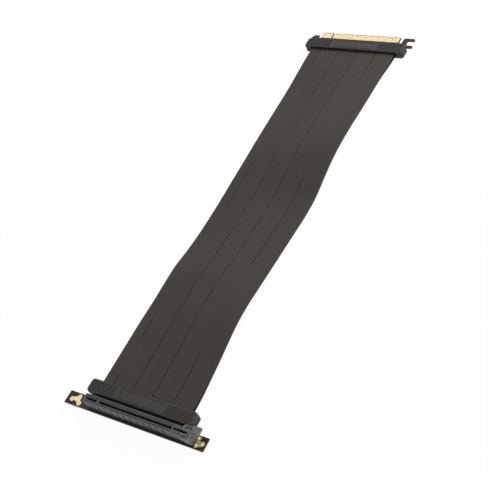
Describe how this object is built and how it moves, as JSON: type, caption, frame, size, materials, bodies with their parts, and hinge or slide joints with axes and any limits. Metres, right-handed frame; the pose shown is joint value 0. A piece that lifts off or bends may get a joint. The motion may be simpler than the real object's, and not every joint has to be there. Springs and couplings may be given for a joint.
{
  "type": "graphics card riser cable",
  "caption": "Flat riser cable: a card slot on a small board at one end, an edge finger board at the other, screened strips between.",
  "frame": {"origin": "on the underside of the slot board, under the middle of the slot's centre line", "axes": "+X along the slot towards the latch, +Y from the slot end to the plug end, +Z out of the slot"},
  "size_m": [0.1396, 0.4515, 0.0166],
  "materials": {
    "circuit_board": "dark solder mask on glass-fibre board with pale gold plating",
    "slot_plastic": "moulded dark grey plastic",
    "latch_plastic": "moulded mid grey plastic",
    "cover_plastic": "moulded black plastic with a fine texture",
    "potting": "cast black resin",
    "cable_sleeve": "warm dark grey screened flat cable with a fine lengthwise grain"
  },
  "bodies": {
    "cable_assembly": {"slot_board": "circuit_board", "slot_housing": "slot_plastic", "slot_upper_cover": "cover_plastic", "slot_lower_cover": "cover_plastic", "plug_upper_cover": "cover_plastic", "plug_lower_cover": "cover_plastic", "plug_board": "circuit_board", "slot_upper_potting": "potting", "slot_lower_potting": "potting", "plug_upper_potting": "potting", "plug_lower_potting": "potting", "cable_upper_1": "cable_sleeve", "cable_upper_2": "cable_sleeve", "cable_upper_3": "cable_sleeve", "cable_upper_4": "cable_sleeve", "cable_upper_5": "cable_sleeve", "cable_lower_1": "cable_sleeve", "cable_lower_2": "cable_sleeve", "cable_lower_3": "cable_sleeve", "cable_lower_4": "cable_sleeve", "cable_lower_5": "cable_sleeve"},
    "latch": {"retention_latch": "latch_plastic"}
  },
  "joints": [
    {"name": "latch_pivot", "type": "hinge", "parent": "cable_assembly", "child": "latch", "pos_m": [0.056, 0, 0.0049], "axis": [0, 1, 0], "range_deg": [0, 15]}
  ]
}
